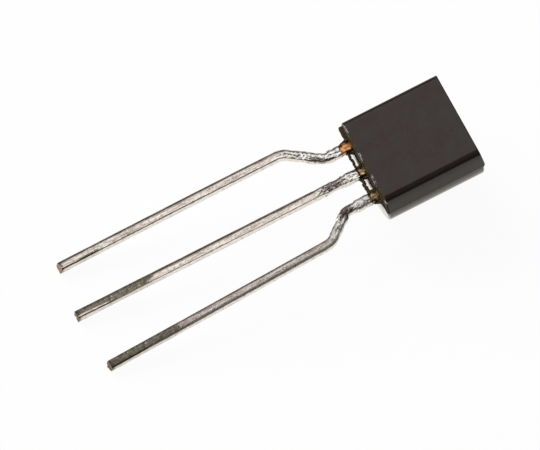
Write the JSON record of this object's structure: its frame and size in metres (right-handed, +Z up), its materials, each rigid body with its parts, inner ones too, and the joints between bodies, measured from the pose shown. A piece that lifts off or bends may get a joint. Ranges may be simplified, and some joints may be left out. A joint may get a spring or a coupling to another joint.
{
  "type": "transistor",
  "caption": "Small three-lead transistor: a moulded half-round plastic case with a flat front and three tinned copper leads, the outer two formed outward.",
  "frame": {"origin": "middle of the base of the box round the transistor as it lies, on the surface it lies on", "axes": "+X from the lead tips to the top of the case, +Y towards the collector lead's side, +Z up; the transistor lies on its round back and the base lead's tip"},
  "size_m": [0.0184, 0.0054, 0.0044],
  "materials": {
    "case_resin": "dark warm grey moulded epoxy, satin flat and smoother round back",
    "lead_metal": "copper with a dull tin coat, streaked lengthwise and blotchy near the case, where the copper is bare and stained brown",
    "silicon": "polished grey silicon",
    "silver_adhesive": "silver-filled adhesive, dull",
    "bond_gold": "bright gold wire"
  },
  "bodies": {
    "root": {"moulded_case": "case_resin", "collector_lead": "lead_metal", "base_lead": "lead_metal", "emitter_lead": "lead_metal", "silicon_die": "silicon", "die_attach": "silver_adhesive", "base_bond_wire": "bond_gold", "emitter_bond_wire": "bond_gold"}
  },
  "joints": []
}
